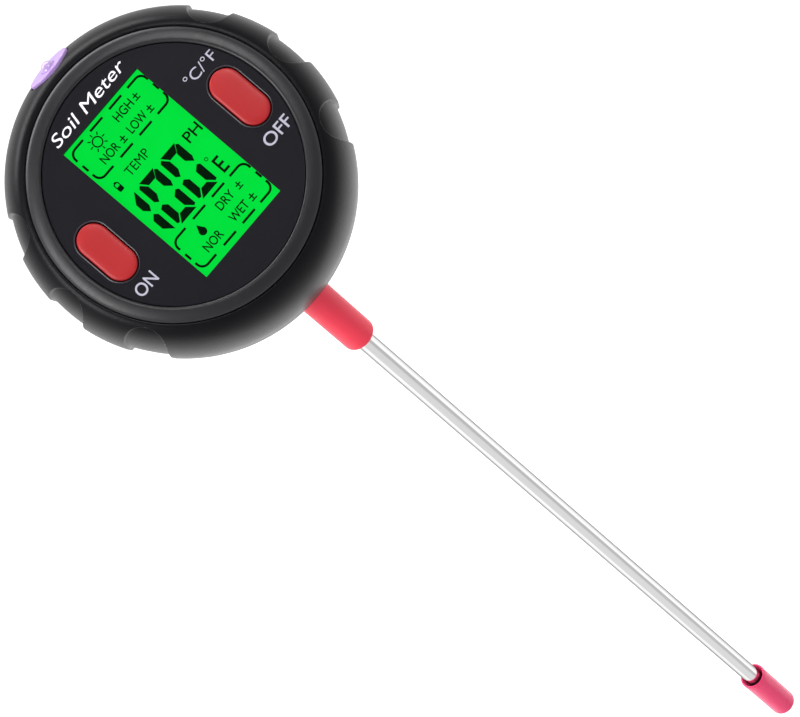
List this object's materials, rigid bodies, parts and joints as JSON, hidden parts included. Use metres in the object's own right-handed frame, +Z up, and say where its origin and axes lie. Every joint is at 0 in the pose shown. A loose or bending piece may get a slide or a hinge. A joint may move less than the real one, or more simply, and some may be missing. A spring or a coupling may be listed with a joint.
{
  "type": "soil moisture meter",
  "caption": "Digital soil meter: round head with a back-lit display, two push buttons and a light sensor, hinged on a collared steel probe with a slip-on tip cap.",
  "frame": {"origin": "on the probe's axis at the soil line, 125 mm above the probe's point, which is where the soil holds the meter", "axes": "+Z up along the probe, towards the head; X along the hinge axis, to the right of someone reading the face; the face looks towards -Y and up"},
  "size_m": [0.0644, 0.0677, 0.2588],
  "materials": {
    "head_shell": "satin, moulded in charcoal",
    "bezel": "semi-gloss grey",
    "face": "smooth satin, near black",
    "window_glass": "clear",
    "lcd_glass": "green back-lit liquid-crystal glass",
    "white_plastic": "moulded white",
    "backlight": "green light guide",
    "zebra_rubber": "conductive elastomer",
    "button_red": "semi-gloss red",
    "switch_plastic": "black switch housing",
    "plunger_plastic": "cream",
    "circuit_board": "green solder mask",
    "chip_plastic": "epoxy",
    "component_metal": "can and solder",
    "screw_steel": "zinc plated",
    "lilac_lens": "translucent lilac",
    "diode_lens": "clear lilac epoxy",
    "rear_shell": "fine moulded texture, charcoal",
    "battery_case": null,
    "snap_vinyl": "soft black vinyl",
    "wire_red": "insulated wire",
    "wire_black": "insulated wire",
    "wire_yellow": "insulated wire",
    "pad_foam": "sponge rubber",
    "pin_steel": "polished steel pin",
    "clip_steel": "spring steel",
    "washer_nylon": "nylon",
    "knuckle_plastic": "glass-filled nylon",
    "collar_red": "glossy red",
    "probe_steel": "polished stainless tube",
    "insulator_plastic": "black acetal",
    "tip_metal": "ground electrode",
    "bead_epoxy": "epoxy bead",
    "cap_vinyl": "soft glossy pink-red vinyl"
  },
  "bodies": {
    "probe": {"hinge_knuckle": "knuckle_plastic", "collar": "collar_red", "probe_tube": "probe_steel", "tip_insulator": "insulator_plastic", "sensing_tip": "tip_metal", "thermistor": "bead_epoxy", "probe_leads": "wire_yellow"},
    "head": {"grip_shell": "head_shell", "front_cover": "bezel", "face_plate": "face", "display_window": "window_glass", "lcd_panel": "lcd_glass", "lcd_holder": "white_plastic", "backlight_panel": "backlight", "zebra_strips": "zebra_rubber", "on_switch_body": "switch_plastic", "off_switch_body": "switch_plastic", "main_board": "circuit_board", "controller_chip": "chip_plastic", "board_components": "component_metal", "board_screws": "screw_steel", "light_window": "lilac_lens", "photodiode": "diode_lens", "rear_housing": "rear_shell", "housing_screws": "screw_steel", "battery": "battery_case", "battery_snap": "snap_vinyl", "battery_lead_red": "wire_red", "battery_lead_black": "wire_black", "hinge_pin": "pin_steel", "pin_clip": "clip_steel", "hinge_washers": "washer_nylon", "head_leads": "wire_yellow"},
    "on_button": {"on_button": "button_red", "on_switch_plunger": "plunger_plastic"},
    "off_button": {"off_button": "button_red", "off_switch_plunger": "plunger_plastic"},
    "battery_door": {"battery_door": "rear_shell", "door_pad": "pad_foam"},
    "tip_cap": {"tip_cap": "cap_vinyl"}
  },
  "joints": [
    {"name": "head_tilt", "type": "hinge", "parent": "probe", "child": "head", "pos_m": [0, 0, 0.0763], "axis": [1, 0, 0], "range_deg": [-40, 50]},
    {"name": "on_press", "type": "slide", "parent": "head", "child": "on_button", "axis": [0, 0.6428, -0.766], "range_m": [0, 0.0006], "stiffness_N_per_m": 800, "springref_m": -0.0008},
    {"name": "off_press", "type": "slide", "parent": "head", "child": "off_button", "axis": [0, 0.6428, -0.766], "range_m": [0, 0.0006], "stiffness_N_per_m": 800, "springref_m": -0.0008},
    {"name": "door_lift", "type": "slide", "parent": "head", "child": "battery_door", "axis": [0, 0.6428, -0.766], "range_m": [0, 0.03]},
    {"name": "cap_pull", "type": "slide", "parent": "probe", "child": "tip_cap", "axis": [0, 0, -1], "range_m": [0, 0.045]}
  ]
}
